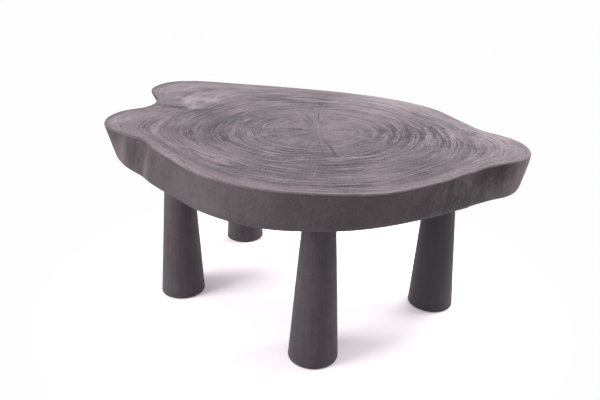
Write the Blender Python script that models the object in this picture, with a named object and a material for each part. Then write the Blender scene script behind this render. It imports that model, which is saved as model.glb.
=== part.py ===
"""Live edge coffee table: a cross-cut slab of a trunk on four turned legs.

Metres, +Z up. The origin is on the floor, below the middle of the slab's box.
+X runs to the right and +Y to the back, as seen from the side of the front leg.
Each leg is screwed to the slab by a hanger bolt in a threaded insert, and stands
on a nylon glide held by a countersunk screw.
"""

from math import cos, pi, radians, sin

import bmesh
import bpy
from mathutils import Vector
from mathutils.geometry import interpolate_bezier

# Whole table
TABLE_HEIGHT = 0.400
SEAT_GAP = 0.0003  # left between two pieces that touch

# Slab
SLAB_LENGTH = 0.865
SLAB_WIDTH = 0.850
SLAB_THICKNESS = 0.076
TOP_ROUND = 0.003
BOTTOM_ROUND = 0.016
RIM_BELLY = 0.0015  # how far the rim swells out halfway down
# The rim, anticlockwise from the front: x and y of its upper edge, as shares of half the
# slab's length and width, and how far it is drawn in by the underside, as a share of the
# thickness. A rim that leans out has a draw below zero.
RIM_SHARES = [
    (0.088, -1.000, 0.16),
    (0.289, -0.991, 0.32),
    (0.499, -0.875, 0.21),
    (0.671, -0.744, 0.08),
    (0.800, -0.645, 0.05),
    (0.920, -0.586, 0.13),
    (0.997, -0.461, 0.32),
    (0.990, -0.282, 0.32),
    (0.872, -0.115, 0.21),
    (0.802, 0.089, 0.16),
    (0.719, 0.318, 0.16),
    (0.529, 0.536, 0.18),
    (0.252, 0.704, 0.18),
    (-0.111, 0.840, 0.16),
    (-0.455, 0.939, 0.16),
    (-0.698, 1.000, 0.21),
    (-0.865, 0.955, 0.42),
    (-0.936, 0.788, 0.62),
    (-0.913, 0.626, 0.58),
    (-0.839, 0.447, 0.26),
    (-0.851, 0.282, 0.08),
    (-0.966, 0.165, 0.26),
    (-1.001, 0.012, 0.37),
    (-0.955, -0.151, 0.26),
    (-0.837, -0.268, -0.08),
    (-0.701, -0.412, -0.21),
    (-0.564, -0.602, -0.12),
    (-0.382, -0.826, 0.00),
    (-0.155, -0.960, 0.04),
]

# The pith, in the same shares
PITH_SHARES = (0.074, -0.181)

# Upright hollows in the rim: bearing about the pith and half the width, both in degrees,
# and the depth at the upper edge
RIM_HOLLOWS = [
    (-167, 9, 0.007),
    (-47, 4, 0.003),
    (-38, 4, 0.003),
]
HOLLOW_FADE = 0.4  # share of that depth that is lost by the underside

# Drying checks: bearing about the pith in degrees, and where it starts and ends from it
CHECKS = [
    (-80, 0.040, 0.172),
    (-138, 0.020, 0.080),
    (25, 0.044, 0.084),
    (70, 0.074, 0.108),
    (89, 0.088, 0.162),
    (100, 0.054, 0.154),
]
CHECK_WIDTH = 0.0020
CHECK_DEPTH = 0.010

# Legs: x and y of the foot in the same shares, and the lean to the right, as a share of
# the leg's length
LEG_FOOT_SHARES = {
    "front": (0.058, -0.680),
    "left": (-0.643, -0.099),
    "right": (0.689, -0.198),
    "back": (-0.365, 0.593),
}
LEG_LEAN_SHARES = {"front": 0.021, "left": 0.025, "right": -0.007, "back": -0.007}
LEG_FOOT_DIAMETER = 0.100
LEG_TOP_DIAMETER = 0.058
LEG_FOOT_ROUND = 0.003
LEG_TOP_CHAMFER = 0.001

# Hanger bolt: wood thread down in the leg, machine thread up in the slab
BOLT_DIAMETER = 0.010
BOLT_IN_LEG = 0.050
BOLT_IN_SLAB = 0.024
BOLT_POINT = 0.008
BOLT_CHAMFER = 0.001
BORE_SPARE = 0.003  # depth left free past the end of a bolt or screw

# Threaded insert in the slab's underside
INSERT_WALL = 0.0027
INSERT_LENGTH = 0.022
INSERT_FLANGE_WIDTH = 0.004
INSERT_FLANGE_THICKNESS = 0.0015

# Glide under the foot, and its countersunk screw
GLIDE_INSET = 0.020  # from the foot's edge to the glide's
GLIDE_THICKNESS = 0.004
GLIDE_PROUD = 0.001  # how far it stands out of its recess in the foot
GLIDE_CHAMFER = 0.0008
SCREW_DIAMETER = 0.0035
SCREW_LENGTH = 0.022
SCREW_POINT = 0.005
SCREW_HEAD_DIAMETER = 0.007
SCREW_HEAD_HEIGHT = 0.0018
SCREW_SINK = 0.0006  # how far the head lies above the floor

# Colour, roughness and metallic value of each finish
SLAB_FINISH = ((0.145, 0.132, 0.138), 0.72, 0.0)
LEG_FINISH = ((0.078, 0.069, 0.075), 0.62, 0.0)
ZINC_FINISH = ((0.60, 0.61, 0.62), 0.35, 1.0)
BRASS_FINISH = ((0.70, 0.55, 0.28), 0.35, 1.0)
NYLON_FINISH = ((0.020, 0.020, 0.021), 0.50, 0.0)
SMOOTH_ANGLE = radians(35)  # edges sharper than this stay crisp

# Facets
LEG_SIDES = 40
FOOT_ROUND_STEPS = 2
GLIDE_SIDES = 28
SMALL_SIDES = 20
RIM_STEPS = 6  # from one station of the rim to the next
SIDE_STEPS = 4  # down the rim
TOP_ROUND_STEPS = 3
BOTTOM_ROUND_STEPS = 4
CUT_OVERRUN = 0.002  # how far a cutter runs out of the face it cuts
MERGE_DISTANCE = 1e-6

UNDERSIDE = TABLE_HEIGHT - SLAB_THICKNESS
LEG_TOP = UNDERSIDE - SEAT_GAP
LEG_BOTTOM = GLIDE_PROUD
LEG_LENGTH = LEG_TOP - LEG_BOTTOM
BOLT_BORE_RADIUS = BOLT_DIAMETER / 2 + SEAT_GAP
INSERT_RADIUS = BOLT_BORE_RADIUS + INSERT_WALL
FLANGE_RADIUS = INSERT_RADIUS + INSERT_FLANGE_WIDTH
SCREW_BORE_RADIUS = SCREW_DIAMETER / 2 + SEAT_GAP
GLIDE_RADIUS = LEG_FOOT_DIAMETER / 2 - GLIDE_INSET


def finish(name, colour, roughness, metallic):
    """A plain material for one piece."""
    material = bpy.data.materials.new(name)
    material.use_nodes = True
    shader = material.node_tree.nodes["Principled BSDF"]
    shader.inputs["Base Color"].default_value = (*colour, 1.0)
    shader.inputs["Roughness"].default_value = roughness
    shader.inputs["Metallic"].default_value = metallic
    return material


def add_piece(name, bm, material):
    """An object made from a mesh, facing out and shaded smooth but for its edges."""
    bmesh.ops.recalc_face_normals(bm, faces=bm.faces)
    mesh = bpy.data.meshes.new(name)
    bm.to_mesh(mesh)
    bm.free()
    mesh.shade_smooth()
    mesh.set_sharp_from_angle(angle=SMOOTH_ANGLE)
    mesh.materials.append(material)
    piece = bpy.data.objects.new(name, mesh)
    bpy.context.collection.objects.link(piece)
    return piece


def cut(piece, cutter):
    """Takes a cutter out of a piece and keeps the cutter as a guide."""
    cutter.hide_render = True
    cutter.display_type = "WIRE"
    boolean = piece.modifiers.new("cut_" + cutter.name, "BOOLEAN")
    boolean.operation = "DIFFERENCE"
    boolean.solver = "EXACT"
    boolean.object = cutter


def turned(profile, sides, closed=False):
    """A mesh spun about Z from (radius, height) points, with each flat end as one face.

    A closed profile makes a ring.
    """
    bm = bmesh.new()
    points = [bm.verts.new((radius, 0.0, height)) for radius, height in profile]
    pairs = list(zip(points, points[1:]))
    if closed:
        pairs.append((points[-1], points[0]))
    edges = [bm.edges.new(pair) for pair in pairs]
    profile_line = points + edges
    bmesh.ops.spin(bm, geom=profile_line, axis=(0, 0, 1), angle=2 * pi, steps=sides, use_merge=True)
    bmesh.ops.remove_doubles(bm, verts=bm.verts, dist=MERGE_DISTANCE)
    flat_middles = []
    for corner in bm.verts:
        around = [edge.other_vert(corner).co.z - corner.co.z for edge in corner.link_edges]
        if corner.co.xy.length < MERGE_DISTANCE and max(map(abs, around)) < MERGE_DISTANCE:
            flat_middles.append(corner)
    bmesh.ops.dissolve_verts(bm, verts=flat_middles)
    return bm


def on_plan(along, across):
    """A place on the floor plan, from shares of half the slab's length and width."""
    return Vector((along * SLAB_LENGTH / 2, across * SLAB_WIDTH / 2))


def at(piece, place, height):
    """Stands a piece over a place on the floor plan."""
    piece.location = (place[0], place[1], height)
    return piece


def rim_curve():
    """Points along the closed curve through the rim's stations, each (x, y, draw)."""
    stations = [Vector((*on_plan(x, y), draw * SLAB_THICKNESS)) for x, y, draw in RIM_SHARES]
    count = len(stations)
    curve = []
    for index, here in enumerate(stations):
        before = stations[index - 1]
        after = stations[(index + 1) % count]
        beyond = stations[(index + 2) % count]
        reach = (after - here).length / 3
        leave = here + (after - before).normalized() * reach
        arrive = after - (beyond - here).normalized() * reach
        curve += interpolate_bezier(here, leave, arrive, after, RIM_STEPS + 1)[:-1]
    return curve


def hollow_at(point):
    """How deep the rim is hollowed at a point of its curve."""
    away = point.xy - on_plan(*PITH_SHARES)
    depth = 0.0
    for bearing, half_width, deepest in RIM_HOLLOWS:
        way = Vector((cos(radians(bearing)), sin(radians(bearing))))
        share = min(1.0, away.angle(way) / radians(half_width))
        depth += deepest * cos(pi / 2 * share) ** 2
    return depth


def rim_profile():
    """Steps down the rim as (inset, drop): a round above, a plain band and a round below."""
    quarter = pi / 2
    band = SLAB_THICKNESS - TOP_ROUND - BOTTOM_ROUND
    profile = []
    for step in range(TOP_ROUND_STEPS):
        turn = quarter * step / TOP_ROUND_STEPS
        profile.append((TOP_ROUND * (1 - sin(turn)), TOP_ROUND * (1 - cos(turn))))
    for step in range(SIDE_STEPS):
        profile.append((0.0, TOP_ROUND + band * step / SIDE_STEPS))
    for step in range(BOTTOM_ROUND_STEPS + 1):
        turn = quarter * step / BOTTOM_ROUND_STEPS
        profile.append((BOTTOM_ROUND * (1 - cos(turn)), SLAB_THICKNESS - BOTTOM_ROUND * (1 - sin(turn))))
    return profile


def slab_blank():
    """The slab before its cuts: one loop of the rim for each step down it, bridged and capped."""
    curve = rim_curve()
    count = len(curve)
    hollows = [hollow_at(point) for point in curve]
    outward = []
    for index in range(count):
        along = (curve[(index + 1) % count] - curve[index - 1]).xy.normalized()
        outward.append(Vector((along.y, -along.x)))

    bm = bmesh.new()
    loops = []
    for inset, drop in rim_profile():
        share = drop / SLAB_THICKNESS
        swell = RIM_BELLY * sin(pi * share)
        left = 1 - HOLLOW_FADE * share
        loop = []
        for point, out, hollow in zip(curve, outward, hollows):
            place = point.xy + out * (swell - inset - point.z * share - hollow * left)
            loop.append(bm.verts.new((place.x, place.y, TABLE_HEIGHT - drop)))
        loops.append(loop)
    edges = [[bm.edges.new((loop[i - 1], loop[i])) for i in range(count)] for loop in loops]
    for upper, lower in zip(edges, edges[1:]):
        bmesh.ops.bridge_loops(bm, edges=upper + lower)
    bm.faces.new(loops[0])
    bm.faces.new(loops[-1])
    return bm


def check_cutter(name, bearing, start, end, material):
    """A thin wedge along a drying check: pointed at both ends and deepest in the middle."""
    middle = (start + end) / 2
    half = CHECK_WIDTH / 2 * (CHECK_DEPTH + CUT_OVERRUN) / CHECK_DEPTH
    bm = bmesh.new()
    spindle = [(start, 0.0), (middle, -half), (end, 0.0), (middle, half)]
    top = [bm.verts.new((along, across, CUT_OVERRUN)) for along, across in spindle]
    keel = bm.verts.new((middle, 0.0, -CHECK_DEPTH))
    bm.faces.new(top)
    for index, corner in enumerate(top):
        bm.faces.new((top[index - 1], keel, corner))
    cutter = at(add_piece(name, bm, material), on_plan(*PITH_SHARES), TABLE_HEIGHT)
    cutter.rotation_euler.z = radians(bearing)
    return cutter


def make_slab(material, tops):
    """The slab, with its drying checks above and a stepped socket over each leg."""
    slab = add_piece("slab", slab_blank(), material)
    for number, (bearing, start, end) in enumerate(CHECKS, 1):
        cut(slab, check_cutter(f"check_{number}", bearing, start, end, material))
    socket_radius = INSERT_RADIUS + SEAT_GAP
    recess_radius = FLANGE_RADIUS + SEAT_GAP
    recess_depth = INSERT_FLANGE_THICKNESS + SEAT_GAP
    depth = max(INSERT_LENGTH, BOLT_IN_SLAB) + BORE_SPARE
    profile = [
        (0.0, depth),
        (socket_radius, depth),
        (socket_radius, recess_depth),
        (recess_radius, recess_depth),
        (recess_radius, -CUT_OVERRUN),
        (0.0, -CUT_OVERRUN),
    ]
    for side, top in tops.items():
        cutter = add_piece(f"socket_{side}", turned(profile, SMALL_SIDES), material)
        cut(slab, at(cutter, top, UNDERSIDE))
    return slab


def make_leg(side, foot, top, material):
    """A turned leg, tapered to its top and leaned, bored for its bolt and recessed for its glide."""
    foot_radius = LEG_FOOT_DIAMETER / 2
    top_radius = LEG_TOP_DIAMETER / 2
    taper = (foot_radius - top_radius) / LEG_LENGTH
    profile = [
        (0.0, LEG_LENGTH),
        (top_radius - LEG_TOP_CHAMFER, LEG_LENGTH),
        (top_radius + taper * LEG_TOP_CHAMFER, LEG_LENGTH - LEG_TOP_CHAMFER),
    ]
    for step in range(FOOT_ROUND_STEPS + 1):
        turn = pi / 2 * step / FOOT_ROUND_STEPS
        rise = LEG_FOOT_ROUND * (1 - sin(turn))
        profile.append((foot_radius - taper * rise - LEG_FOOT_ROUND * (1 - cos(turn)), rise))
    profile.append((0.0, 0.0))
    bm = turned(profile, LEG_SIDES)
    lean = (top - foot) / LEG_LENGTH
    for corner in bm.verts:
        corner.co.xy += lean * corner.co.z
    leg = at(add_piece(f"leg_{side}", bm, material), foot, LEG_BOTTOM)

    bolt_depth = BOLT_IN_LEG + BORE_SPARE
    bolt_bore = [
        (0.0, CUT_OVERRUN),
        (BOLT_BORE_RADIUS, CUT_OVERRUN),
        (BOLT_BORE_RADIUS, -bolt_depth),
        (0.0, -bolt_depth),
    ]
    cut(leg, at(add_piece(f"bolt_bore_{side}", turned(bolt_bore, SMALL_SIDES), material), top, LEG_TOP))
    recess_radius = GLIDE_RADIUS + SEAT_GAP
    recess_top = GLIDE_THICKNESS + SEAT_GAP
    bore_top = SCREW_SINK + SCREW_LENGTH + BORE_SPARE
    glide_seat = [
        (0.0, bore_top),
        (SCREW_BORE_RADIUS, bore_top),
        (SCREW_BORE_RADIUS, recess_top),
        (recess_radius, recess_top),
        (recess_radius, -CUT_OVERRUN),
        (0.0, -CUT_OVERRUN),
    ]
    cut(leg, at(add_piece(f"glide_seat_{side}", turned(glide_seat, GLIDE_SIDES), material), foot, 0.0))


def make_bolt(side, top, material):
    """A double-ended bolt: pointed below for the leg, chamfered above for the insert."""
    radius = BOLT_DIAMETER / 2
    profile = [
        (0.0, BOLT_IN_SLAB),
        (radius - BOLT_CHAMFER, BOLT_IN_SLAB),
        (radius, BOLT_IN_SLAB - BOLT_CHAMFER),
        (radius, BOLT_POINT - BOLT_IN_LEG),
        (0.0, -BOLT_IN_LEG),
    ]
    at(add_piece(f"hanger_bolt_{side}", turned(profile, SMALL_SIDES), material), top, UNDERSIDE)


def make_insert(side, top, material):
    """A flanged sleeve that takes the bolt's upper end, flush with the underside."""
    profile = [
        (BOLT_BORE_RADIUS, INSERT_LENGTH),
        (INSERT_RADIUS, INSERT_LENGTH),
        (INSERT_RADIUS, INSERT_FLANGE_THICKNESS),
        (FLANGE_RADIUS, INSERT_FLANGE_THICKNESS),
        (FLANGE_RADIUS, 0.0),
        (BOLT_BORE_RADIUS, 0.0),
    ]
    sleeve = turned(profile, SMALL_SIDES, closed=True)
    at(add_piece(f"threaded_insert_{side}", sleeve, material), top, UNDERSIDE)


def make_glide(side, foot, material):
    """A thin disc with a chamfered lower rim and a countersunk hole."""
    head = SCREW_HEAD_DIAMETER / 2 + SEAT_GAP
    seat = SCREW_SINK + SCREW_HEAD_HEIGHT
    profile = [
        (SCREW_BORE_RADIUS, GLIDE_THICKNESS),
        (GLIDE_RADIUS, GLIDE_THICKNESS),
        (GLIDE_RADIUS, GLIDE_CHAMFER),
        (GLIDE_RADIUS - GLIDE_CHAMFER, 0.0),
        (head, 0.0),
        (head, SCREW_SINK),
        (SCREW_BORE_RADIUS, seat),
    ]
    disc = turned(profile, GLIDE_SIDES, closed=True)
    at(add_piece(f"foot_glide_{side}", disc, material), foot, 0.0)


def make_screw(side, foot, material):
    """A countersunk screw, head down in the glide and point up in the foot."""
    shank = SCREW_DIAMETER / 2
    head = SCREW_HEAD_DIAMETER / 2
    profile = [
        (0.0, SCREW_LENGTH),
        (shank, SCREW_LENGTH - SCREW_POINT),
        (shank, SCREW_HEAD_HEIGHT),
        (head, 0.0),
        (0.0, 0.0),
    ]
    at(add_piece(f"glide_screw_{side}", turned(profile, SMALL_SIDES), material), foot, SCREW_SINK)


def centre_on_origin(slab):
    """Hangs every piece on one empty and sets it so that the slab's middle is over the origin."""
    corners = [Vector(corner) for corner in slab.bound_box]
    middle = sum(corners, Vector()) / len(corners)
    table = bpy.data.objects.new("table", None)
    for piece in list(bpy.data.objects):
        if piece is not table:
            piece.parent = table
    bpy.context.collection.objects.link(table)
    table.location = (-middle.x, -middle.y, 0.0)


def main():
    for old in list(bpy.data.objects):
        bpy.data.objects.remove(old, do_unlink=True)
    slab_wood = finish("charcoal_slab", *SLAB_FINISH)
    leg_wood = finish("charcoal_leg", *LEG_FINISH)
    zinc = finish("zinc_plated_steel", *ZINC_FINISH)
    brass = finish("insert_brass", *BRASS_FINISH)
    nylon = finish("black_nylon", *NYLON_FINISH)

    feet = {}
    tops = {}
    for side, shares in LEG_FOOT_SHARES.items():
        feet[side] = on_plan(*shares)
        tops[side] = feet[side] + Vector((LEG_LEAN_SHARES[side] * LEG_LENGTH, 0.0))
    slab = make_slab(slab_wood, tops)
    for side, foot in feet.items():
        make_leg(side, foot, tops[side], leg_wood)
        make_bolt(side, tops[side], zinc)
        make_insert(side, tops[side], brass)
        make_glide(side, foot, nylon)
        make_screw(side, foot, zinc)
    centre_on_origin(slab)


main()
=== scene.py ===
"""Looks of the live edge coffee table: a charcoal slab with its growth rings and natural rim,
four turned legs, the bolts and inserts that join them, and the glides under the feet.

Metres, +Z up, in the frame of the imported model.
"""

from math import cos, pi, radians, sin, tau
from typing import NamedTuple

import bmesh
import bpy
import numpy as np
from mathutils import Matrix, Vector, noise
from mathutils.bvhtree import BVHTree


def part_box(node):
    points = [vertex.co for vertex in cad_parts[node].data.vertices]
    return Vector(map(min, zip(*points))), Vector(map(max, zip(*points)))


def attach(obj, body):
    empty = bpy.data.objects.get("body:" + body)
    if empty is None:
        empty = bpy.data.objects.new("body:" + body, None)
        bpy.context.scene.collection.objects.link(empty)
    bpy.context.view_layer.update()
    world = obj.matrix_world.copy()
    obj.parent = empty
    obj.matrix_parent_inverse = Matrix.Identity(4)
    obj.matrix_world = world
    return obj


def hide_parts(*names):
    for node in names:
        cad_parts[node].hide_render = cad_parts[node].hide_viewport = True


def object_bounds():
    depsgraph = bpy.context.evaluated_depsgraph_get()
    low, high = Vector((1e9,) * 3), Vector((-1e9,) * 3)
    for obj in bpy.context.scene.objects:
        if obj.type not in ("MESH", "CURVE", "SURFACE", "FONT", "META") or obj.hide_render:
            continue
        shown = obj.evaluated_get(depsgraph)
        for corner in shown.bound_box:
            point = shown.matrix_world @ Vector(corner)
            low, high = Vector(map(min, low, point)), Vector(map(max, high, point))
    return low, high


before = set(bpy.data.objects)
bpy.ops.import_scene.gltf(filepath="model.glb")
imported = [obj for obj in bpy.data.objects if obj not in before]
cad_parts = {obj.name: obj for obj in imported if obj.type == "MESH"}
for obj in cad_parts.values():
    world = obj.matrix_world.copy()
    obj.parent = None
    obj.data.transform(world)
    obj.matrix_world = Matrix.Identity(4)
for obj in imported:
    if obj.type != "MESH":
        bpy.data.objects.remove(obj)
cad_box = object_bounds()


class Grain(NamedTuple):
    """Drawn-out marks of a finish."""

    width: float  # in radians, for those that run out from the pith
    run: float = 1.0
    detail: float = 2.0
    tone: float = 0.0  # how much paler they are
    rough: float = 0.0  # how much rougher they are
    height: float = 0.0  # how high they stand
    soft: tuple = (0.0, 1.0)  # the noise at which they start and are full


class Mottle(NamedTuple):
    """Round marks of a finish, with a grain's tone, roughness and height."""

    scale: float  # marks to the metre
    detail: float = 2.0
    tone: float = 0.0
    rough: float = 0.0
    height: float = 0.0


SIDES = ("front", "left", "right", "back")
SEAT_GAP = 0.0003  # between two pieces that touch
SHARP_ANGLE = radians(40.0)  # edges sharper than this stay crisp

# Camera of the photograph
CAMERA_PLACE = (-0.0057, -1.2780, 0.7433)
CAMERA_TILT = radians(67.5)  # from straight down
CAMERA_ROLL = radians(0.8)
CAMERA_LENS = 36.0  # millimetres, on a sensor as wide

# Growth rings of the slab
PITH = np.array((0.0310, -0.0762))
RING_COUNT = 40
RING_SEED = 5
RING_WIDTHS = (0.6, 1.4)  # narrowest and widest, as shares of the mean
RING_ROWS = ((0.0, -1.0), (0.45, -0.45), (0.80, 0.0))  # share of a ring's width, and its rise
RING_RELIEF = 0.0005
RELIEF_START = (0.15, 0.45)  # shares of the growth over which that relief sets in
RELIEF_MEAN = 0.65  # share of it that is there on the mean
RELIEF_RANGE = 0.35  # and how far that share varies
RELIEF_PATH = (1.7, 1.7, 6.0)  # how much faster it varies than the rings waver
RING_WAVER = 0.012  # share of the radius
WAVER_AROUND = 2.2  # how fast it changes around the pith
WAVER_OUTWARD = 9.0  # and from the pith to the rim
GROWTH_SPAN = 0.400  # what the growth coordinate counts from the pith to the rim
ROUND_SHARE = 0.48  # rings are round up to this share of the growth
ROUND_RADIUS = 0.192
ROUND_SHIFT = 0.012  # how far the round rings lie off the pith
ROUND_BEARING = radians(140.0)
# At two shares of the growth the trunk had these radii, by bearing in degrees
YOUNG_SHARE = 0.66
YOUNG_TRUNK = {
    -125: 0.240, -90: 0.255, -20: 0.255, 5: 0.248, 30: 0.245, 60: 0.272, 98: 0.305, 110: 0.330,
    120: 0.330, 139: 0.305, 162: 0.296, 170: 0.292, 184: 0.286, 191: 0.279, 206: 0.260, 219: 0.244,
}
OLD_SHARE = 0.80
OLD_TRUNK = {
    -125: 0.290, -90: 0.302, -20: 0.305, 5: 0.285, 30: 0.274, 60: 0.325, 94: 0.357, 108: 0.385,
    118: 0.388, 128: 0.362, 140: 0.336, 165: 0.338, 183: 0.339, 191: 0.323, 206: 0.298,
}
TRUNK_SMOOTHING = radians(3.0)

# Drying checks: bearing about the pith in degrees, start and end
CHECKS = (
    (-80, 0.040, 0.172),
    (-138, 0.020, 0.080),
    (25, 0.044, 0.084),
    (70, 0.074, 0.108),
    (89, 0.088, 0.162),
    (100, 0.054, 0.154),
)
CHECK_WIDTH = 0.0012
CHECK_DEPTH = 0.010
CHECK_TIP = 1e-6  # share of the width that is left past a check's ends
CHECK_COLUMNS = 0.008  # most that the columns beside a check lie off it, in radians

# Rim of the slab
RIM_TOP_ROUND = 0.003
RIM_FOOT_ROUND = 0.016
RIM_SMOOTHING = radians(0.6)
PLAN_BEARINGS = 1440
SLAB_COLUMNS = 640
TOP_ROUND_ROWS = 5
BAND_ROWS = 11
FOOT_ROUND_ROWS = 6
SKIM = 0.00003  # how far the dressed slab keeps inside the faces of the CAD slab
RIM_MARGIN = 0.2  # share of the thickness, above and below, over which the rim's relief sets in
BARK_ARC = (radians(-58.0), radians(-26.0))  # where the rim keeps bark-like flutes
BARK_FADE = radians(7.0)
CHIPPED = (0.350, 0.388)  # growth over which the top beside the bark is chipped
BARK_RELIEF = 0.0016
PLAIN_RELIEF = 0.0004
FLUTE_WIDTH = 0.012
FLUTE_LENGTH = 0.110
FLUTE_SINK = 0.4  # how much more they are cut in than raised
HATCH_ARC = (radians(-124.0), radians(-80.0))  # where the rim shows slanted tool marks
HATCH_FADE = radians(6.0)
# Soft light and dark spots of the rim, partly its own tone and partly painted light and shade: the
# shaded and lit flanks of its hollows and ridges, light on its tip and light from the floor on its
# lower left end. Columns: bearing in degrees, drop below the top, reach around in degrees, reach
# down and amount. Dark ones are hollow and light ones raised.
RIM_TONE_AND_PAINTED_LIGHT = (
    (-178.5, 0.010, 2.5, 0.012, -0.16),
    (-177.0, 0.052, 3.0, 0.018, 0.42),
    (-174.6, 0.026, 0.8, 0.022, 0.36),
    (-170.4, 0.028, 2.0, 0.026, -0.34),
    (-165.8, 0.040, 1.6, 0.030, -0.16),
    (-161.6, 0.048, 1.3, 0.030, 0.38),
    (-157.0, 0.026, 2.0, 0.026, -0.18),
    (-146.0, 0.036, 6.0, 0.040, -0.06),
    (-126.0, 0.036, 8.0, 0.040, 0.18),
    (-64.0, 0.040, 8.0, 0.040, -0.12),
    (-51.0, 0.032, 1.0, 0.026, -0.45),
    (-46.0, 0.040, 5.0, 0.040, -0.10),
    (-44.5, 0.024, 1.6, 0.020, 0.45),
    (-41.0, 0.013, 1.2, 0.010, -0.60),
    (-37.5, 0.014, 1.5, 0.014, -0.55),
    (-34.5, 0.026, 0.9, 0.012, -0.40),
    (-33.0, 0.007, 2.5, 0.008, -0.70),
    (-31.5, 0.030, 1.0, 0.012, -0.40),
    (-31.0, 0.056, 3.0, 0.014, 0.30),
    (-24.0, 0.032, 3.0, 0.030, 0.95),
    (-16.0, 0.032, 5.0, 0.040, 1.10),
    (-22.0, 0.060, 6.0, 0.018, 0.70),
)
SPOT_RELIEF = 0.0014

# Figure of the top, in soft spots: x, y, reach and amount
PLAIN_LINES = 0.55
LINE_SPOTS = (
    (-0.115, -0.050, 0.055, 0.10),
    (-0.185, 0.110, 0.060, 0.12),
    (0.235, -0.085, 0.085, 0.12),
    (0.030, -0.330, 0.130, 0.45),
    (-0.140, -0.200, 0.080, 0.30),
    (0.031, -0.076, 0.095, -0.45),
    (0.105, -0.080, 0.045, -0.42),
    (-0.290, 0.270, 0.090, -0.20),
    (0.380, -0.100, 0.060, 0.60),
    (-0.350, 0.040, 0.070, -0.22),
)
FLAME_SPOTS = (
    (-0.250, 0.210, 0.085, 1.00),
    (-0.320, 0.320, 0.080, 0.95),
)
STREAK_SPOTS = (
    (-0.080, 0.260, 0.080, 0.90),
    (0.020, 0.200, 0.080, 0.60),
    (0.190, 0.150, 0.080, 0.90),
    (0.210, -0.060, 0.085, 0.50),
    (-0.290, -0.020, 0.060, 0.30),
)
CROSS_SPOTS = (
    (0.260, -0.080, 0.090, 1.35),
    (-0.300, 0.000, 0.060, 0.50),
    (-0.100, 0.080, 0.060, 0.50),
)
# Pale and dark spots of the top, partly its own figure and blotches and partly painted sheen that
# lightens the back right and the tip
PALE_AND_SHEEN_SPOTS = (
    (-0.170, -0.060, 0.090, -0.21),
    (0.000, -0.280, 0.090, -0.14),
    (0.160, -0.270, 0.060, -0.08),
    (0.230, -0.090, 0.080, -0.24),
    (0.380, -0.110, 0.060, 0.49),
    (0.250, 0.230, 0.090, 0.56),
    (-0.330, 0.030, 0.050, 0.12),
    (-0.150, -0.240, 0.060, 0.20),
    (0.110, -0.060, 0.040, 0.12),
    (-0.300, 0.330, 0.080, 0.27),
    (-0.280, 0.167, 0.022, 0.70),
    (-0.290, 0.209, 0.018, 0.60),
    (-0.258, 0.112, 0.012, 0.60),
    (-0.228, 0.192, 0.018, 0.75),
    (-0.200, 0.250, 0.030, 0.20),
    (-0.350, -0.105, 0.028, 0.22),
    (-0.405, -0.018, 0.030, 0.24),
    (-0.290, -0.020, 0.050, 0.10),
    (0.300, -0.150, 0.045, -0.22),
    (0.030, 0.200, 0.060, -0.12),
    (-0.313, 0.186, 0.014, -0.45),
    (-0.252, 0.168, 0.009, -0.45),
    (-0.311, 0.265, 0.016, -0.35),
    (-0.256, 0.318, 0.018, -0.30),
    (-0.225, 0.063, 0.020, -0.26),
    (-0.306, 0.142, 0.013, -0.34),
    (-0.288, 0.110, 0.012, -0.26),
    (-0.085, 0.072, 0.018, -0.22),
    (-0.016, -0.062, 0.014, -0.22),
    (0.105, -0.045, 0.016, -0.14),
    (0.195, -0.054, 0.022, -0.10),
)
# Pale and dark stretches of single rings: bearings in degrees between which they lie, share of
# the growth, reach in such shares and amount
RING_ARCS = (
    (160, 207, 0.800, 0.012, 0.12),
    (172, 190, 0.795, 0.022, 0.10),
    (178, 224, 0.655, 0.010, 0.15),
    (160, 190, 0.585, 0.012, 0.10),
    (150, 206, 0.520, 0.030, -0.08),
    (150, 206, 0.428, 0.011, 0.14),
    (150, 200, 0.360, 0.018, -0.06),
    (130, 200, 0.292, 0.014, 0.18),
    (-6, 16, 0.600, 0.010, 0.18),
    (-36, 2, 0.740, 0.012, 0.20),
    (-30, 0, 0.785, 0.012, -0.18),
    (-20, -8, 0.830, 0.010, 0.14),
    (-15, 8, 0.860, 0.009, -0.18),
    (-31, -3, 0.655, 0.010, -0.18),
    (-27, -9, 0.515, 0.012, 0.16),
    (0, 12, 0.460, 0.030, -0.14),
    (-2, 10, 0.335, 0.020, -0.12),
    (-2, 9, 0.555, 0.010, -0.18),
    (112, 147, 0.893, 0.009, -0.24),
)
ARC_FADE = radians(4.0)
# Dark stains: where they start and end, how wide they are and how dark
STAINS = (
    ((0.024, -0.084), (-0.030, -0.122), 0.006, 0.30),
    ((0.055, -0.066), (0.112, -0.062), 0.008, 0.30),
    ((0.020, -0.070), (-0.020, -0.062), 0.006, 0.30),
    ((0.034, -0.008), (0.053, -0.014), 0.005, 0.30),
    ((-0.360, 0.146), (-0.256, 0.092), 0.014, 0.34),
    ((-0.340, 0.112), (-0.270, 0.118), 0.012, 0.30),
    ((-0.335, 0.074), (-0.262, 0.060), 0.007, 0.25),
    ((-0.314, 0.170), (-0.284, 0.300), 0.010, 0.30),
    ((-0.298, 0.010), (-0.240, 0.098), 0.008, 0.30),
    ((-0.258, 0.092), (-0.196, 0.090), 0.012, 0.34),
)

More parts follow.
